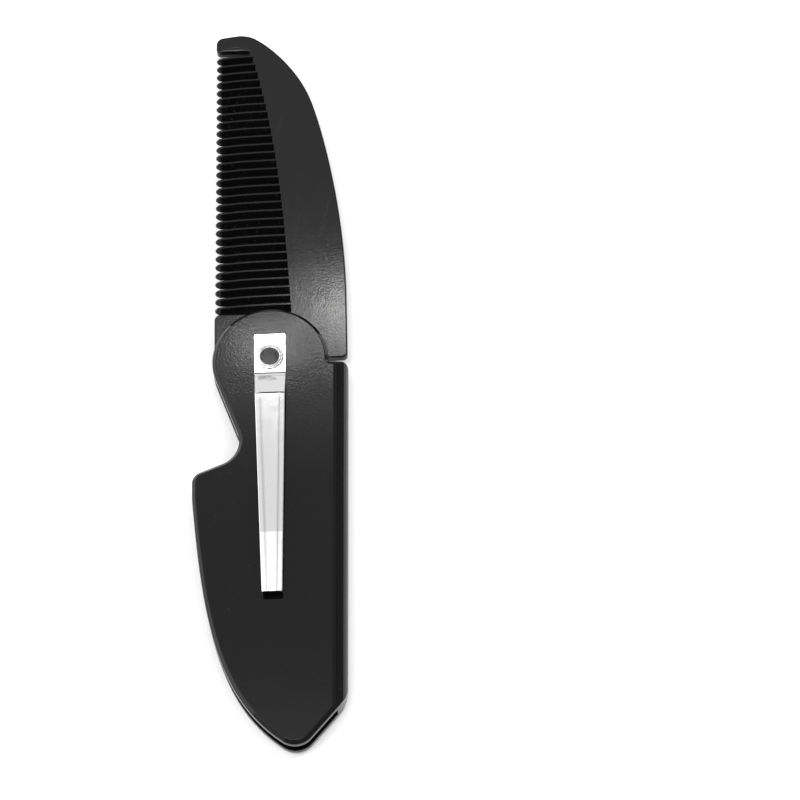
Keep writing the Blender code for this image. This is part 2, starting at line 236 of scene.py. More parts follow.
def case_path():
    """The case's outline run anticlockwise from the shoulder: shoulder, hub, flank, thumb
    notch, belly, point, chamfer with its round corner, and spine. Also how many points its
    two ends across the spine have, how many lie on the spine, and the two that meet the
    web's face.

    Moved in by the edge's width, both ends have points at the same x, so that strips of the
    half round join them."""
    point, corner, spine_top = (7.13, -91.2), (SPINE_X, -79.15), (SPINE_X, SHOULDER_Y)
    point_round, corner_round, shoulder_round = 4.5, 7.0, 1.1
    way = np.array(corner) - point
    way /= np.linalg.norm(way)
    inset = way[1] * EDGE
    last = fillet(point, corner, spine_top, corner_round, 14)
    centre = (SPINE_X - shoulder_round, SHOULDER_Y - shoulder_round)
    wanted = np.concatenate([np.linspace(FLAT_X, last[0, 0] - inset, 9)[:-1], [WEB_X - inset]])
    chamfer_x = np.unique(wanted) + inset
    chamfer = np.stack([chamfer_x, corner[1] + (chamfer_x - corner[0]) * way[1] / way[0]], 1)
    across = np.concatenate([chamfer, last])

    belly_top, belly_end = (-16.6, -33.8), (3.6, -88.74)
    tip = fillet(belly_end, point, corner, point_round, 30)
    normals = inward(np.concatenate([tip, across, [spine_top]]))[len(tip):-1]
    normals[-1] = (-1, 0)
    inner = across[:, 0] + normals[:, 0] * EDGE
    angle = np.arccos(np.clip((inner - centre[0]) / (shoulder_round - EDGE), 0, 1))
    angle[-1] = 0.0
    up = np.stack([centre[0] + shoulder_round * np.cos(angle),
                   centre[1] + shoulder_round * np.sin(angle)], 1)
    up[:, 0] = np.where(inner < centre[0], inner, up[:, 0])
    up[np.argmin(abs(up[:, 0] - WEB_X)), 0] = WEB_X
    spine = line(across[-1], up[-1], 70)[1:-1]

    hook_x = HUB - 0.01
    hook = fillet((HUB + 0.5, SHOULDER_Y), (hook_x, SHOULDER_Y), (hook_x, 0.2), 0.38, 7)
    hub = arc((0, 0), HUB, 0.0, 200.0, 120)
    floor, floor_round, lip, lip_round = (-4.94, -23.08), 5.87, (-16.81, -27.97), 2.78
    notch = np.concatenate([fillet(hub[-1], floor, lip, floor_round, 30),
                            fillet(floor, lip, belly_top, lip_round, 20)])
    belly = bend(belly_top, (0.105, -1.0), 28.5, belly_end, (0.82, -0.572), 16.5, 90)
    flank = line(hub[-1], notch[0], 14)[1:-1]
    left = spread(np.concatenate([hook, hub[1:], flank, notch, belly, tip]), 0.05)
    rise = line(tip[-1], across[0], 12)[1:-1]
    path = np.concatenate([up[::-1], left, rise, across, spine])
    web_at = (int(np.argmin(abs(up[::-1, 0] - WEB_X))),
              len(up) + len(left) + len(rise) + int(np.argmin(abs(across[:, 0] - WEB_X))))
    return path, len(up), len(across), len(spine), web_at


def case_half(skin, rise, face_bore, seat_depth):
    """One cheek with its half of the web and spine. rise is 1 for the upper half and -1 for
    the lower, which is its mirror image in height.

    Each column of the edge stands on the outline: slot edge, wall, and the edge's profile
    that stops where the spine's half round is lower. Past it the surface is the half round,
    and inside that the cheek is flat."""
    path, count_up, count_across, count_spine, (web_high, web_low) = case_path()
    normal = inward(path)
    x_out, x_way = path[:, 0], normal[:, 0]
    shares, insets, rises, angles = edge_profile()
    wall_high, slot_z = THICK - EDGE, THICK - CHEEK

    # The share of the profile where it meets the half round, found by halving
    lower, upper = np.zeros(len(path)), np.ones(len(path))
    for _ in range(40):
        middle = (lower + upper) / 2
        height = wall_high + np.interp(middle, shares, rises)
        under = height < spine_height(x_out + x_way * np.interp(middle, shares, insets)) - 1e-9
        lower, upper = np.where(under, middle, lower), np.where(under, upper, middle)
    stop = np.where(spine_height(x_out) <= wall_high, 0.0, lower)
    stop = np.where(stop > 1 - 1e-4, 1.0, stop)
    wall_top = np.minimum(wall_high, spine_height(x_out))

    def level(height):
        return MIDDLE + (height - MIDDLE) * rise

    def place(inset, height):
        spots = path + normal * np.broadcast_to(inset, len(path))[:, None]
        return np.column_stack([spots, level(height)])

    def facing(angle):
        angle = np.broadcast_to(angle, len(path))
        return np.column_stack([-normal * np.cos(angle)[:, None], np.sin(angle) * rise])

    def patch(rows, columns):
        skin.grid(np.stack([spots[columns] for spots, _ in rows]),
                  np.stack([ways[columns] for _, ways in rows]))

    rounding = []
    for share in shares:
        at = stop * share
        height = np.where(stop > 0, wall_high + np.interp(at, shares, rises), wall_top)
        inset, angle = np.interp(at, shares, insets), np.interp(at, shares, angles)
        rounding.append((place(inset, height), facing(angle)))
    easing = SLOT_EDGE * eased((WEB_X - x_out) / SLOT_FADE)
    slot_side = []
    for a in np.radians([-90, -60, -30, 0]):
        height = slot_z + easing * (1 + math.sin(a))
        slot_side.append((place(easing * (1 - math.cos(a)), height), facing(a)))
    cheek = np.r_[web_high:web_low + 1]
    patch(slot_side + rounding, cheek)
    post = [(place(0.0, np.full(len(path), MIDDLE)), facing(0.0)),
            (place(0.0, np.minimum(slot_z, wall_top)), facing(0.0))]
    patch(post + rounding, np.r_[web_low:len(path), 0:web_high + 1])

    start = np.interp(stop, shares, insets)
    crest = []
    for t in np.linspace(0, 1, 10) ** 2:
        inset = start + (EDGE - start) * t
        x = x_out + x_way * inset
        crest.append((place(inset, spine_height(x)), spine_way(x, rise)))
    patch(crest, np.r_[0:len(path), 0])
    inner = crest[-1][0]

    top_end = inner[:count_up][::-1]
    first = len(path) - count_spine - count_across
    low_end = inner[first:first + count_across]
    share = np.linspace(0, 1, count_spine + 2)[:, None, None]
    strip = low_end + (top_end - low_end) * share
    strip[..., 2] = level(spine_height(strip[..., 0]))
    skin.grid(strip, spine_way(strip[..., 0], rise))

    up = np.array([0, 0, rise])
    face = np.concatenate([inner[count_up - 1:first + 1, :2], strip[1:-1, 0, :2]])
    skin.flat(face, [ring(face_bore)], level(THICK), up)
    skin.flat(slot_side[0][0][cheek][:, :2], [ring(BORE)], level(slot_z), -up)
    bore(skin, BORE, level(slot_z), level(THICK - seat_depth))
    if seat_depth:
        bore(skin, face_bore, level(THICK - seat_depth), level(THICK))
        skin.flat(ring(face_bore), [ring(BORE)], level(THICK - seat_depth), up)
    return path[web_high], path[web_low]


def case():
    """Both cheeks, the lower with the seat of the rivet's rim, and the web's face inside
    the slot."""
    skin = Skin()
    high, low = case_half(skin, 1.0, BORE, 0.0)
    case_half(skin, -1.0, SEAT, SEAT_DEPTH)
    levels = np.array([CHEEK, MIDDLE, THICK - CHEEK])
    wall = np.stack([np.column_stack([np.tile(end, (3, 1)), levels]) for end in (low, high)])
    wall[..., 0] = WEB_X
    skin.grid(wall, np.array([-1.0, 0.0, 0.0]))
    piece("case_shell", skin, case_plastic(), "handle", "case")


# Comb: plate, tips' line, teeth from the lowest gap up, their droop as a slope, the length
# of their noses, and the comb's lean in degrees
PLATE, PLATE_EDGE, TIP_X = 2.1, 0.36, -12.7
TEETH, PITCH, FIRST_Y = 31, 2.25, 13.24
DROOP, NOSE, LEAN = math.tan(math.radians(0.9)), 1.5, 1.02
ROOT_X, ROOT_Y, ROOT_RUN, ROOT_FALL, ROOT_BOW = 4.6, 13.0, 69.0, 4.1, 4.8
BACK_X, GUARD_X, HEEL_Y = 17.25, -12.75, 1.3
LOW_GUARD_EDGE, LOW_TOOTH_EDGE, LOW_TOOTH_DROP = 0.2, 0.1, 0.12

# By the distance in from a tooth's tip: the crest's place as a share of the half width, and
# the share of the plate's thickness
CREST_AT = np.array([(0.0, 0.35), (2.6, 0.5), (6.0, 0.66), (11.6, 0.75)])
THIN_AT = np.array([(0.0, 0.3), (0.6, 0.5), (1.3, 0.68), (2.6, 0.8), (5.0, 0.93), (7.0, 1.0)])
CREST_HALF = 0.19

# By x along the guard's underside: the width and the height of its rounding
SCOOP_WIDTH = np.array([(-12.7, 0.36), (-11.6, 0.95), (-7.8, 1.85), (-6.2, 0.9),
                        (-4.9, 0.36), (-4.6, 0.3)])
SCOOP_HEIGHT = np.array([(-12.7, 0.36), (-11.6, 0.95), (-5.5, 0.95), (-4.6, 0.6)])


def root_x(y):
    """The roots follow a shallow bow: 4.6 less 4.1 times the share, less 4.8 times its
    cube."""
    share = (y - ROOT_Y) / ROOT_RUN
    return ROOT_X - ROOT_FALL * share - ROOT_BOW * share ** 3


def tooth_half(reach):
    """Half a tooth's width: 0.79 plus 0.005 times the distance in from its tip."""
    return 0.79 + 0.07 * reach / 14.0


def teeth_path():
    """The outline of all the teeth from the top one down, at half their height: upper side,
    elliptical nose, lower side, and the squarish bottom of the gap below.

    Each tooth's crest is a narrow flat that runs from near the middle of the nose to its
    upper side, and the lower flank is a plane that slopes down from it. So with each point
    come its share of the full thickness, which falls to 0.3 over the last 7 mm, how that
    share grows with x, the way to the crest in x and y, the height of the slope, and how
    plane it is."""
    centre = (FIRST_Y + PITCH * (np.arange(TEETH)[::-1] + 0.5))[:, None]
    above, below = centre + PITCH / 2, centre - PITCH / 2
    gap_round = 0.2
    deep_above, deep_below = (root_x(y + 0.25) - gap_round - TIP_X for y in (above, below))

    run = np.array([1, 0.97, 0.94, 0.88, 0.75, 0.6, 0.45, 0.3, 0.15, 0])[None, :]
    reach_up = NOSE + (deep_above - NOSE) * run
    nose = np.radians(np.linspace(90, -90, 17))[None, 1:-1]
    reach_nose = NOSE * (1 - np.cos(nose)) + 0 * centre
    reach_low = NOSE + (deep_below - 0.1 - NOSE) * run[:, ::-1]
    reach_end = deep_below - np.array([0.08, 0.06, 0.04, 0.02, 0.0])[None, :]
    reach = np.concatenate([reach_up, reach_nose, reach_low, reach_end], 1)
    half = tooth_half(reach)
    side = np.concatenate([tooth_half(reach_up), np.sin(nose) * tooth_half(reach_nose),
                           -tooth_half(reach_low), -tooth_half(reach_end)], 1)
    x, y = TIP_X + reach, centre + DROOP * reach + side

    turn = np.radians(np.linspace(90, -90, 11))[None, 1:-1]
    half_gap = PITCH / 2 - tooth_half(deep_below)
    square_turn = np.sign(np.sin(turn)) * np.sqrt(abs(np.sin(turn)))
    gap_x = TIP_X + deep_below + gap_round * np.sqrt(np.cos(turn))
    gap_y = below + DROOP * deep_below + half_gap * square_turn
    path = np.stack([np.concatenate([x, gap_x], 1), np.concatenate([y, gap_y], 1)], -1)

    crest = np.interp(reach, *CREST_AT.T) * half + CREST_HALF * np.clip(side / half, -1, 1)
    inner = np.maximum(reach, 0.7)
    ends = slice(-reach_end.shape[1], None)
    inner[:, ends] = deep_below + 0.25
    crest[:, ends] += (side - crest)[:, ends] * np.linspace(0, 1, reach_end.shape[1])
    share = np.interp(reach, *THIN_AT.T)
    near = 0.2
    gain = np.interp(reach + near, *THIN_AT.T) - np.interp(reach - near, *THIN_AT.T)
    growth = gain / (2 * near) * PLATE / 2
    plane = np.clip(-2.0 * side / half, 0, 1)
    on_teeth = (share, growth, inner - reach, crest - side, 0.95 * share, plane)
    in_gaps = (1.0, 0.0, 0.2, 0.0, 0.85, 0.0)
    edge = [np.concatenate([tooth, np.full_like(gap_x, gap)], 1)
            for tooth, gap in zip(on_teeth, in_gaps)]
    return path.reshape(-1, 2), np.stack(edge, -1).reshape(-1, 6)


def comb_path():
    """Heel, bowed back, pointed crown, end guard, teeth, heel block and hub disc, run
    anticlockwise. With each point come the six values that teeth_path gives, for the lower
    side and for the upper: off the teeth the rounding is 0.36 mm, and up to 1.85 mm wide
    where the guard's underside is scooped. Underneath, the teeth are rounded by 0.1 mm and
    the guard by 0.2 mm."""
    back_start, back_end, slant = (BACK_X, 16.6), (9.65, 69.94), (-0.311, 0.927)
    crown_end = (-5.04, 88.34)
    back = bend(back_start, (0, 1), 23.8, back_end, slant, 7.5, 50)
    crown = bend(back_end, slant, 10.9, crown_end, (-1.0, 0.22), 2.7, 40)[1:]
    teeth, teeth_edge = teeth_path()
    top, corner, lower, root = (-6.9, 88.7), (GUARD_X, 87.85), (GUARD_X, 83.7), (-4.6, 83.85)
    outer = fillet(corner, lower, root, 1.2, 12)
    turn_in = fillet(lower, root, teeth[0] + (0.3, 0.1), 0.3, 6)
    under = np.concatenate([outer, line(outer[-1], turn_in[0], 40)[1:-1], turn_in])
    before = [back, crown, fillet(crown_end, top, corner, 6.0, 9),
              fillet(top, corner, lower, 1.9, 14), under]
    block = fillet((4.3, ROOT_Y), (GUARD_X, ROOT_Y), (GUARD_X, 0.0), 1.4, 12)
    start = line((teeth[-1, 0] - 0.4, ROOT_Y), block[0], 14)[:-1]
    heel_angle = math.degrees(math.asin(HEEL_Y / -TIP_X))
    disc = arc((0, 0), -TIP_X, 181, 360 + heel_angle, 90)
    heel = fillet(disc[-1], (BACK_X, HEEL_Y), back_start, 1.1, 12)
    after = [start, block, line(block[-1], (TIP_X, 0), 12)[1:], disc, heel,
             line(heel[-1], back[0], 8)[1:-1]]

    path = np.concatenate(before + [teeth] + after)
    normal = inward(path)
    first = sum(map(len, before))
    guard, tooth = slice(first - len(under), first), slice(first, first + len(teeth))
    wide, high = np.full(len(path), PLATE_EDGE), np.full(len(path), PLATE_EDGE)
    wide[guard] = np.interp(under[:, 0], *SCOOP_WIDTH.T)
    high[guard] = np.interp(under[:, 0], *SCOOP_HEIGHT.T)
    none = np.zeros(len(path))
    edge = np.column_stack([none + 1, none, normal * wide[:, None], high, none])
    edge[tooth] = teeth_edge
    low_edge = edge.copy()
    low_edge[guard, 2:4] = normal[guard] * LOW_GUARD_EDGE
    low_edge[guard, 4] = LOW_GUARD_EDGE
    low_edge[tooth, 2:4] = normal[tooth] * LOW_TOOTH_EDGE
    low_edge[tooth, 4:] = (LOW_TOOTH_DROP, 0.0)
    return path, low_edge, edge


def comb():
    """A plate bounded by the outline. Its edge is a rounding, a wall and a rounding, and
    each rounding is a quarter ellipse, or a plane on a tooth's lower flank. Towards a tooth's
    nose the height and the roundings shrink together."""
    skin = Skin()
    path, *edges = comb_path()
    normal = inward(path)
    rows, ways = [], []
    for side, edge in zip((-1, 1), edges):
        share, growth, way_x, way_y, drop, plane = edge.T
        way = np.stack([way_x, way_y], 1)
        steep = np.maximum((way * normal).sum(1), 0.02)
        for angle in np.radians(np.linspace(0, 90, 9))[::side]:
            c, s, even = math.cos(angle), math.sin(angle), angle / (math.pi / 2)
            step, rise, out, up = (curved + (straight - curved) * plane for curved, straight
                                   in ((1 - c, even), (s, even), (c, 1.0), (s, 1.0)))
            height = side * (PLATE / 2 * share - drop + drop * rise)
            rows.append(np.column_stack([path + way * step[:, None], MIDDLE + height]))
            ways.append(np.column_stack([-normal * (drop * out)[:, None], side * steep * up]))
    loop = np.r_[0:len(path), 0]
    skin.grid(np.stack(rows)[:, loop], np.stack(ways)[:, loop])
    tilt = np.zeros((len(path) + ROUND_STEPS, 3))
    tilt[:len(path), 0] = -growth
    tilt[:, 2] = 1.0
    for row, up in ((rows[0], -1.0), (rows[-1], 1.0)):
        bore_edge = np.full(ROUND_STEPS, MIDDLE + up * PLATE / 2)
        heights = np.concatenate([row[:, 2], bore_edge])
        skin.flat(row[:, :2], [ring(BORE)], heights, tilt * (1, 1, up))
    bore(skin, BORE, MIDDLE - PLATE / 2, MIDDLE + PLATE / 2)
    skin.turn(LEAN)
    piece("comb_blade", skin, comb_plastic(), "blade", "comb")


# Clip: its flanks, FLANK wide, are pressed down by PRESSED, with a crease along their inside
SHEET, CLIP_Z, CLIP_TURN, CLIP_EDGE = 0.8, 7.3, 1.35, 0.12
SEAT_TOP_Y, SEAT_END_Y, SEAT_CORNER = 5.8, -3.0, 0.3
FLANK, PRESSED, CREASE_DEPTH, CREASE_WIDTH = 1.1, 0.08, 0.025, 0.07

# Half its width, by how far below the rivet
CLIP_HALF = np.array([(-5.8, 3.8), (10.0, 3.3), (56.5, 2.2)])


def clip_side():
    """The strip's side line from the seat's end to the tip, as y and rise, with the ways
    along it and up from it."""
    level = [(SEAT_END_Y, 0.0), (-4.0, 0.0), (-10.0, 2.3), (-38.0, 1.88), (-56.5, 1.35)]
    side = np.concatenate([line(level[0], (-3.2, 0.0), 3)[:-1], fillet(*level[0:3], 1.6, 14),
                           fillet(*level[1:4], 2.0, 14), line((-11.5, 2.2775), (-35.5, 1.9175), 50),
                           fillet(*level[2:5], 300.0, 8), line((-41.0, 1.794), level[4], 30)])
    side = side[np.concatenate([[True], np.diff(side[:, 0]) < -0.01])]
    along = np.gradient(side, axis=0)
    along /= np.linalg.norm(along, axis=1)[:, None]
    return side, along, np.stack([along[:, 1], -along[:, 0]], 1)


def clip():
    """The strip: a flat seat round the rivet, then an arm swept along the bent side line.
    Its width falls from 7.6 mm to 4.4 mm, and each flank slopes 0.08 mm down from a fine
    crease 1.1 mm in from the edge."""
    skin = Skin()
    side, along, up = clip_side()
    y = side[:, 0]
    half = np.interp(-y, *CLIP_HALF.T)[:, None]
    pressed = eased((-4.0 - y) / 6.0)[:, None]
    angle = np.radians(np.linspace(0, 90, 6))
    from_edge = np.array([CLIP_EDGE, 0.3, 0.5, 0.7, 0.9, 1.0, 1.05, FLANK, 1.15, 1.2, 1.3])
    middle = np.linspace(1, 0, 7)[1:]

    def across(half):
        right = np.concatenate([half - from_edge, (half - from_edge[-1]) * middle], -1)
        return np.concatenate([-right, right[:, -2::-1]], 1)

    def section(shrink):
        """Points round the strip for every station: x, and height over the strip's top."""
        x = across(half - shrink)
        inside = half - shrink - abs(x)
        drop = pressed * (PRESSED * np.clip(1 - inside / FLANK, 0, 1)
                          + CREASE_DEPTH * np.exp(-((inside - FLANK) / CREASE_WIDTH) ** 2))
        edge = pressed * PRESSED * (1 - CLIP_EDGE / FLANK) + shrink
        wide = half - shrink - CLIP_EDGE
        sine, cosine = CLIP_EDGE * np.sin(angle), CLIP_EDGE * np.cos(angle)
        right = np.stack([wide + sine, -edge - CLIP_EDGE + cosine], -1)
        low_height = 2 * shrink - edge - SHEET + CLIP_EDGE - sine
        right_low = np.stack([wide + cosine, low_height], -1)
        top = np.stack([x, -drop - shrink], -1)
        bottom = np.stack([x[:, ::-1], -drop[:, ::-1] - SHEET + shrink], -1)
        flip = np.array([-1, 1])
        return np.concatenate([top[:, :-1], right, right_low, bottom[:, 1:-1],
                               right_low[:, ::-1] * flip, right[:, ::-1] * flip], 1)

    def swept(shrink, stations):
        flat = section(shrink)[stations]
        spot = side[stations][:, None, :] + up[stations][:, None, :] * flat[..., 1:2]
        return np.stack([flat[..., 0], spot[..., 0], spot[..., 1] + CLIP_Z + SHEET], -1)

    ends = []
    for a in angle[1:]:
        end = swept(CLIP_EDGE * (1 - math.cos(a)), np.array([-1]))[0]
        ends.append(end + np.array([0, along[-1, 0], along[-1, 1]]) * CLIP_EDGE * math.sin(a))
    rows = np.concatenate([swept(0.0, np.arange(len(side))), np.stack(ends)])
    rows = np.concatenate([rows, rows[:, :1]], 1)
    down = np.gradient(rows, axis=0)
    around = np.gradient(np.concatenate([rows[:, -2:-1], rows, rows[:, 1:2]], 1), axis=1)[:, 1:-1]
    ways = np.cross(around, down)
    arm_station, top_point = 40, 14
    skin.grid(rows, ways * np.sign(ways[arm_station, top_point, 2]))
    tip = rows[-1, :-1]
    fan = np.stack([tip, np.roll(tip, -1, 0), np.tile(tip.mean(0), (len(tip), 1))], 1)
    skin.add(fan, np.array([0, -1.0, 0]), np.arange(len(tip) * 3))

    wide, corner_y = half[0, 0], SEAT_TOP_Y - SEAT_CORNER
    corner_x = wide - SEAT_CORNER
    path = np.concatenate([line((wide, SEAT_END_Y), (wide, corner_y), 14)[:-1],
                           arc((corner_x, corner_y), SEAT_CORNER, 0, 90, 7)[:-1],
                           line((corner_x, SEAT_TOP_Y), (-corner_x, SEAT_TOP_Y), 12)[:-1],
                           arc((-corner_x, corner_y), SEAT_CORNER, 90, 180, 7)[:-1],
                           line((-wide, corner_y), (-wide, SEAT_END_Y), 14)])
    edge = np.diff(path, axis=0)
    edge /= np.linalg.norm(edge, axis=1)[:, None]
    mean = np.concatenate([edge[:1], edge[1:] + edge[:-1], edge[-1:]])
    mean /= np.linalg.norm(mean, axis=1)[:, None]
    normal = np.stack([-mean[:, 1], mean[:, 0]], 1)
    turn = np.concatenate([np.pi / 2 - angle, -angle])
    heights = np.concatenate([SHEET - CLIP_EDGE + CLIP_EDGE * np.cos(angle),
                              CLIP_EDGE - CLIP_EDGE * np.sin(angle)])
    rim, rim_ways = [], []
    for a, z in zip(turn, heights):
        spots = path + normal * CLIP_EDGE * (1 - math.cos(a))
        rim.append(np.column_stack([spots, np.full(len(path), z + CLIP_Z)]))
        rim_ways.append(np.column_stack([-normal * math.cos(a), np.full(len(path), math.sin(a))]))
    skin.grid(np.stack(rim), np.stack(rim_ways))
    joint = across(half[:1])[0, 1:-1]
    joint = np.column_stack([joint, np.full(len(joint), SEAT_END_Y)])
    for row, z, way in ((rim[0], CLIP_Z + SHEET, 1.0), (rim[-1], CLIP_Z, -1.0)):
        skin.flat(np.concatenate([row[:, :2], joint]), [ring(BORE)], z, np.array([0, 0, way]))
    bore(skin, BORE, CLIP_Z, CLIP_Z + SHEET)
    skin.turn(CLIP_TURN)
    piece("pocket_clip", skin, plated_steel(), "handle", "clip")


# The rivet's closed profile, as radius and height, run clockwise: up the bore and out over
# the upper rim, down the tube's outside, and in under the lower rim
UPPER_RIM = [(2.1, 8.1), (2.11, 8.38), (2.13, 8.5), (2.17, 8.57), (2.24, 8.61), (2.34, 8.62),
             (2.44, 8.59), (2.5, 8.53), (2.54, 8.46), (2.57, 8.42), (2.61, 8.43), (2.68, 8.45),
             (2.8, 8.43), (2.92, 8.38), (3.02, 8.3), (3.08, 8.2), (3.08, 8.14), (3.04, 8.11),
             (2.6, 8.11)]
OUTSIDE = [(2.42, 8.1), (2.4, 8.04), (2.4, 4.5), (2.4, 0.7), (2.42, 0.64)]
LOWER_RIM = [(2.6, 0.61), (2.96, 0.6), (3.0, 0.55), (2.97, 0.4), (2.9, 0.26), (2.76, 0.15),
             (2.55, 0.1), (2.36, 0.15), (2.2, 0.27), (2.12, 0.45), (2.1, 0.6)]
INSIDE = [(2.1, 2.0), (2.1, 4.5), (2.1, 7.0)]


def rivet():
    """A tube with a rolled rim at each end: one closed profile of radius and height turned
    about the axis. The upper rim has a flat ring, a fine groove and a round outer edge."""
    skin = Skin()
    profile = np.array(UPPER_RIM + OUTSIDE + LOWER_RIM + INSIDE)
    normal = inward(profile)
    closed = np.r_[0:len(profile), 0]
    radius, height = profile[closed].T[..., None]
    outward, rise = normal[closed].T[..., None]
    turn = np.radians(np.linspace(0, 360, 97))
    turn[-1] = 0.0
    c, s, flat = np.cos(turn), np.sin(turn), np.ones_like(turn)
    skin.grid(np.stack([radius * c, radius * s, height * flat], -1),
              np.stack([outward * c, outward * s, rise * flat], -1))
    piece("rivet_tube", skin, rivet_steel(), "handle", "eyelet")


class Value:
    """A socket in a material, with arithmetic that adds Math nodes."""

    def __init__(self, finish, socket):
        self.finish, self.socket = finish, socket

    def maths(self, operation, *values):
        return self.finish.node("Math", {"operation": operation}, dict(enumerate(values)))

    def absolute(self, level):
        """The distance from a level."""
        return self.maths("ABSOLUTE", self - level)

    def __add__(self, other):
        return self.maths("ADD", self, other)

    def __sub__(self, other):
        return self.maths("SUBTRACT", self, other)

    def __rsub__(self, other):
        return self.maths("SUBTRACT", other, self)

    def __mul__(self, other):
        return self.maths("MULTIPLY", self, other)

    __radd__, __rmul__ = __add__, __mul__


class Finish:
    """A material: its constants are set on the shader's own sockets, and node() adds any
    other node."""

    def __init__(self, name, constants):
        self.material = bpy.data.materials.new(name)
        self.material.use_nodes = True
        self.tree = self.material.node_tree
        self.shader = self.tree.nodes["Principled BSDF"]
        for socket, value in constants.items():
            self.shader.inputs[socket].default_value = value

    def node(self, kind, settings=None, inputs=None, output=0):
        made = self.tree.nodes.new("ShaderNode" + kind)
        for name, value in (settings or {}).items():
            setattr(made, name, value)
        for name, value in (inputs or {}).items():
            if isinstance(value, Value):
                self.tree.links.new(value.socket, made.inputs[name])
            else:
                made.inputs[name].default_value = value
        return Value(self, made.outputs[output])

    def feed(self, socket, value):
        self.tree.links.new(value.socket, self.shader.inputs[socket])

    def place(self, stretch=(1.0, 1.0, 1.0), degrees=0.0, shift=(0.0, 0.0, 0.0)):
        """Object coordinates turned about Z, then shifted, then stretched."""
        where = self.node("TexCoord", output="Object")
        turned = self.node("Mapping", None, {"Vector": where, "Location": shift,
                                             "Rotation": (0.0, 0.0, math.radians(degrees))})
        return self.node("Mapping", None, {"Vector": turned, "Scale": stretch})

    def noise(self, size, detail=2.0, stretch=(1.0, 1.0, 1.0), degrees=0.0):
        """Noise whose lumps are about the given size in mm, before the stretch."""
        place = self.place(stretch, degrees)
        return self.node("TexNoise", None, {"Vector": place, "Scale": 1 / (size * MM),
                                            "Detail": detail, "Roughness": 0.5})

    def step(self, value, low, high):
        """0 at low, 1 at high, straight between and level beyond; low may be the larger."""
        return self.node("MapRange", {"clamp": True},
                         {"Value": value, "From Min": low, "From Max": high})

    def grey(self, value):
        """A colour with the same value in each channel."""
        return self.node("CombineColor", None, {0: value, 1: value, 2: value})

    def bump(self, height, distance, under=None):
        """A normal tilted by the height's slope; the distance in mm is for a rise of 1."""
        inputs = {"Height": height, "Distance": distance * MM}
        if under is not None:
            inputs["Normal"] = under
        return self.node("Bump", None, inputs)


def moulded(name, cloud):
    """Moulded black plastic with a fine spark-eroded grain, which dulls its gloss, in clouds
    of the given size in mm. Gives the finish and its grain."""
    finish = Finish(name, {"IOR": 1.38})
    grain = finish.noise(0.36, 1.0)
    dull = 0.04 * finish.step(grain, 0.42, 0.66)
    finish.feed("Roughness", 0.03 + 0.02 * finish.noise(cloud) + dull)
    return finish, grain


def case_plastic():
    """The case's plastic, with a slow wave from moulding and a few rubbed specks."""
    finish, grain = moulded("case_plastic", 9.0)
    specks = finish.step(finish.noise(0.5, 1.0), 0.74, 0.8)
    finish.feed("Base Color", finish.grey(0.002 + 0.02 * specks))
    wave = finish.bump(finish.noise(14.0, 1.0), 0.02)
    finish.feed("Normal", finish.bump(grain, 0.005, wave))
    return finish.material


def comb_plastic():
    """The same plastic on the comb, worn: soft bands along the blade, fine scratches at two
    angles and specks."""
    finish, grain = moulded("comb_plastic", 7.0)
    bands = finish.noise(2.6, 1.0, (1.0, 0.06, 1.0))
    scratch = finish.step(finish.noise(0.5, 1.0, (1.0, 0.02, 1.0), 12.0), 0.68, 0.75)
    cross = finish.step(finish.noise(0.5, 1.0, (0.03, 1.0, 1.0), 35.0), 0.7, 0.76)
    specks = finish.step(finish.noise(0.45, 1.0), 0.72, 0.78)
    finish.feed("Base Color", finish.grey(0.002 + 0.003 * specks + 0.006 * (scratch + cross)))
    finish.feed("Normal", finish.bump(grain, 0.006, finish.bump(bands, 0.006)))
    return finish.material


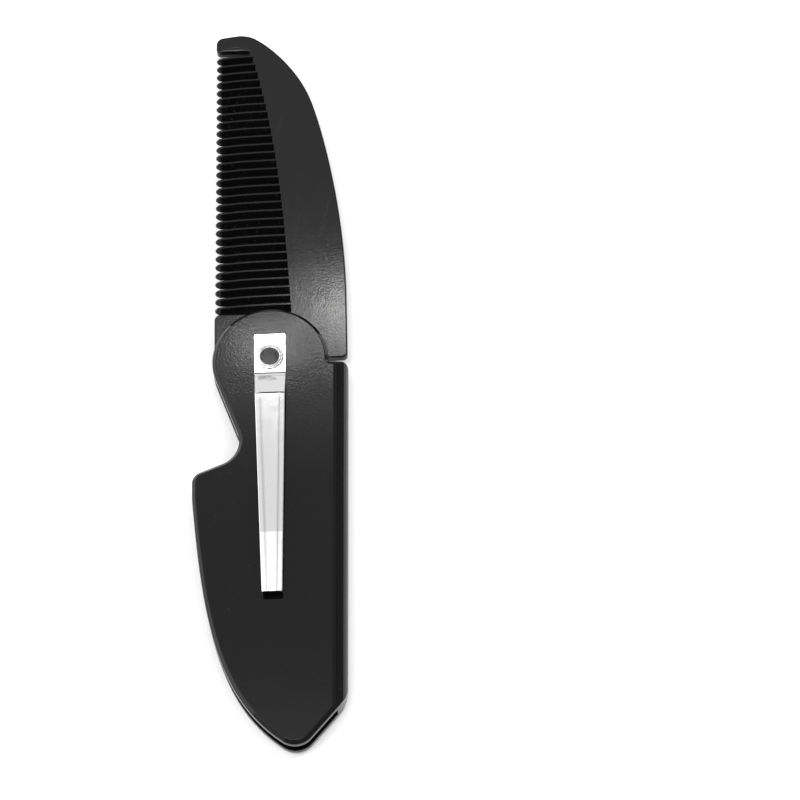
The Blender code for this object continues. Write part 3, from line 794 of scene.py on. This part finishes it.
def plated_steel():
    """Bright plating over rolled strip: long streaks and a slow wave. Painted shade darkens its
    colour a little over the pressed panel, more in bands along the creases beside it, in two
    fine wavy bands where the seat bends up, in a band along the arm's top bend, and in a patch
    past them, which is also rougher from brushing.

    The panel lies more than 1.15 mm inside the edge: half the width less the distance from
    the middle line. The last 14 mm lean down to the tip."""
    finish = Finish("plated_steel", {"Metallic": 1.0})
    place = finish.place(degrees=-CLIP_TURN, shift=(-RIVET[0] * MM, -RIVET[1] * MM, 0.0))
    x = finish.node("SeparateXYZ", None, {"Vector": place}, "X")
    y = finish.node("SeparateXYZ", None, {"Vector": place}, "Y")
    streak = finish.noise(0.35, 2.0, (1.0, 0.05, 1.0))
    brushed = finish.step(finish.noise(0.3, 2.0, (0.2, 1.0, 1.0), 8.0), 0.35, 0.6)
    wander = (finish.noise(1.6, 1.0, (1.0, 0.1, 1.0)) - 0.5) * (1.2 * MM)

    def step(value, low, high):
        """The step between two levels in mm."""
        return finish.step(value, low * MM, high * MM)

    def band(value, level, width):
        """1 at the level, falling to 0 at the width to either side, in mm."""
        return step(value.absolute(level * MM), width, 0.0)

    half_at_rivet, taper = 3.54 * MM, 0.0237
    inside = half_at_rivet + y * taper - x.absolute(0.0)
    arm = step(y + inside * 0.35, -10.4, -11.0)
    # Painted shade over the pressed panel and in bands along its creases
    panel = step(inside, 0.8, 1.15) * arm
    crease = band(inside, 1.15, 0.5) * arm
    # Painted shade in a patch past the seat's bend, which is also rougher from brushing
    across_shade_patch = step(x.absolute(-0.6 * MM), 2.2, 1.8)
    patch = across_shade_patch * step(y, -4.7, -4.95) * step(y, -6.6, -5.6) * brushed
    # Painted shade in two fine wavy bands where the seat bends up, and in a band along the arm's
    # top bend
    bend_shade_lines = band(y + wander, -3.55, 0.22) + band(y + wander, -4.75, 0.16)
    rim = band(y, -10.15, 0.2)
    # All the painted shade, taken off the plating's colour
    painted_shade = 0.03 * panel + 0.24 * crease + 0.3 * patch + 0.35 * bend_shade_lines + 0.3 * rim
    finish.feed("Base Color", finish.grey(0.97 - painted_shade))
    finish.feed("Roughness", 0.06 + 0.07 * streak + 0.2 * patch)
    lean = step(y, -57.0, -43.0) * 0.42
    slow = finish.bump(lean + 0.012 * finish.noise(2.5, 1.0), 1.0)
    finish.feed("Normal", finish.bump(streak, 0.001, slow))
    return finish.material


def rivet_steel():
    """The rivet's plating, dull down its bore, where painted shade darkens its colour."""
    finish = Finish("rivet_steel", {"Metallic": 1.0})
    about = finish.place(stretch=(1.0, 1.0, 0.0), shift=(-RIVET[0] * MM, -RIVET[1] * MM, 0.0))
    radius = finish.node("VectorMath", {"operation": "LENGTH"}, {0: about}, "Value")
    # Painted shade: the colour is darker inside a radius of 2.12 to 2.2 mm, down the bore, which is
    # also rougher
    outside_bore_shade = finish.step(radius, 2.12 * MM, 2.2 * MM)
    streak = finish.noise(0.4)
    finish.feed("Base Color", finish.grey(0.6 + 0.14 * outside_bore_shade + 0.1 * streak))
    finish.feed("Roughness", 0.45 - 0.3 * outside_bore_shade + 0.12 * streak)
    return finish.material


def table_top():
    """A square grid of the table's surface, under matt white paper."""
    across = np.linspace(-3.0, 3.0, 3)
    x, y = np.meshgrid(across, across)
    mesh = bpy.data.meshes.new("table_top")
    mesh.from_pydata(np.stack([x, y, 0 * x], -1).reshape(-1, 3).tolist(), [],
                     [(0, 1, 4, 3), (1, 2, 5, 4), (3, 4, 7, 6), (4, 5, 8, 7)])
    finish = Finish("white_paper", {"Roughness": 0.9, "Specular IOR Level": 0.0})
    finish.feed("Base Color", finish.grey(0.88 + 0.03 * finish.noise(1.5)))
    mesh.materials.append(finish.material)
    made = bpy.data.objects.new("table_top", mesh)
    bpy.context.scene.collection.objects.link(made)


def lamp(name, low, high, facing, radiance):
    """A lamp panel between two corners in mm, flat across its facing: its power is pi times
    its area times its radiance."""
    low, high = Vector(low) * MM, Vector(high) * MM
    turn = Vector(facing).to_track_quat('-Z', 'Y').to_matrix()
    size = turn.transposed() @ (high - low)
    data = bpy.data.lights.new(name, 'AREA')
    data.shape = 'RECTANGLE'
    data.size, data.size_y = abs(size.x), abs(size.y)
    data.energy = math.pi * data.size * data.size_y * radiance
    made = bpy.data.objects.new(name, data)
    made.matrix_world = Matrix.Translation((low + high) / 2) @ turn.to_4x4()
    bpy.context.scene.collection.objects.link(made)
    return made


# The room of lamp panels, in mm: its walls, its ceiling and how high its walls reach
WEST, EAST, NEAR, FAR = -1200, 1200, -1300, 1600
CEILING_Z, WALL_Z, FLOOR_Z = 1000, 1700, 5
DOWN = (0, 0, -1)

# The ceiling over the comb in strips: the y where each starts, and its radiance
CEILING = ((-300, 2.0), (60, 1.4), (228, 1.1), (262, 0.9), (285, 0.73), (430, 0.85),
           (450, 1.15), (470, 1.5), (488, 1.9), (583, 1.3), (620, 1.0))
CEILING_END = 850
SIDE_MOST = 1.2

# Hot lamps under it and the glow round them: x from and to, y from and to, and radiance
GLOW = ((-92, -44, 508, 530, 4.0), (-90, -46, 512, 527, 9.0), (-56, -40, 538, 564, 5.5),
        (-28, 15, 508, 536, 9.5), (-38, 15, 536, 564, 10.5), (-38, 15, 542, 557, 14.0))


def overhead(name, x_low, x_high, y_low, y_high, radiance, z=CEILING_Z):
    """A lamp panel that faces down."""
    return lamp(name, (x_low, y_low, z), (x_high, y_high, z), DOWN, radiance)


def light():
    """An even white room and a high lamp at the back right for the table's own light, which
    no gloss mirrors, and panels for the gloss: a ceiling at 1 m with two hot lamps in a
    graded glow, a bright left side, and a dim right, near and far side, with a dark gap
    where the photographer stands. Lamps that overlap hang 0.5 mm apart, since of two in one
    plane only one is seen."""
    world = bpy.data.worlds.new("studio")
    world.use_nodes = True
    world.node_tree.nodes["Background"].inputs["Color"].default_value = (1.0, 1.0, 1.0, 1)
    world.node_tree.nodes["Background"].inputs["Strength"].default_value = 0.48
    world.cycles_visibility.glossy = False
    bpy.context.scene.world = world
    overhead("key", 500, 1300, 500, 1300, 9.0, 1100).visible_glossy = False
    ends = [start for start, _ in CEILING[1:]] + [CEILING_END]
    for (start, radiance), end in zip(CEILING, ends):
        overhead("ceiling", -170, 50, start, end, radiance)
        overhead("ceiling_left", -800, -170, start, end, min(radiance, SIDE_MOST))
        overhead("ceiling_right", 50, 110, start, end, min(radiance, SIDE_MOST))
    for step, panel in enumerate(GLOW):
        overhead("glow", *panel, 998 - 0.5 * step)
    overhead("ceiling_edge", 110, 650, -40, CEILING_END, 0.5)
    overhead("near_lamp", -300, 60, -200, -60, 6.0, 1010)
    lamp("left_wall", (WEST, -600, FLOOR_Z), (WEST, FAR, WALL_Z), (1, 0, 0), 1.9)
    lamp("left_wall", (WEST, NEAR, FLOOR_Z), (WEST, -600, 1100), (1, 0, 0), 0.9)
    lamp("right_wall", (EAST, NEAR, FLOOR_Z), (EAST, FAR, WALL_Z), (-1, 0, 0), 0.35)
    lamp("back_wall", (WEST, FAR, FLOOR_Z), (EAST, FAR, 1100), (0, -1, 0), 0.12)
    lamp("back_glow", (-500, FAR - 10, 430), (350, FAR - 10, 900), (0, -1, 0), 0.66)
    lamp("front_wall", (WEST, NEAR, FLOOR_Z), (EAST, NEAR, 690), (0, 1, 0), 0.4)
    for x_low, x_high in ((WEST, -260), (140, EAST)):
        lamp("front_high", (x_low, NEAR, 690), (x_high, NEAR, WALL_Z), (0, 1, 0), 0.8)
        overhead("near_side", x_low, x_high, NEAR, -300, 0.8)
        overhead("far_side", x_low, x_high, CEILING_END, FAR, 0.8)


# The camera, as fitted to the photograph: its turns in degrees, the turn from the fit's own
# axes to the frame's, where it stands from the top of the case at the rivet in its own axes,
# and its focal length over the picture's width
TILT, ROLL, SWING = -26.15, -0.82, 1.49
FIT_TURN = 1.0214
AWAY = (28.97, -9.13, 561.6)
FOCAL_SHARE = 2516 / 800


def camera():
    """The photograph's viewpoint: 562 mm off, 26 degrees from straight down."""
    view = (Matrix.Rotation(math.radians(TILT), 3, 'X')
            @ Matrix.Rotation(math.radians(ROLL), 3, 'Y')
            @ Matrix.Rotation(math.radians(SWING), 3, 'Z'))
    turn = Matrix.Rotation(math.radians(FIT_TURN), 3, 'Z')
    away = view.transposed() @ Vector(AWAY)
    spot = (turn @ away + Vector((RIVET[0], RIVET[1], THICK))) * MM
    data = bpy.data.cameras.new("camera")
    data.sensor_width = 36.0
    data.lens = FOCAL_SHARE * 36.0
    data.clip_start = 0.01
    made = bpy.data.objects.new("camera", data)
    made.matrix_world = Matrix.Translation(spot) @ (turn @ view.transposed()).to_4x4()
    bpy.context.scene.collection.objects.link(made)
    bpy.context.scene.camera = made


case()
comb()
clip()
rivet()
table_top()
light()
camera()
bpy.context.scene.view_settings.view_transform = 'Standard'
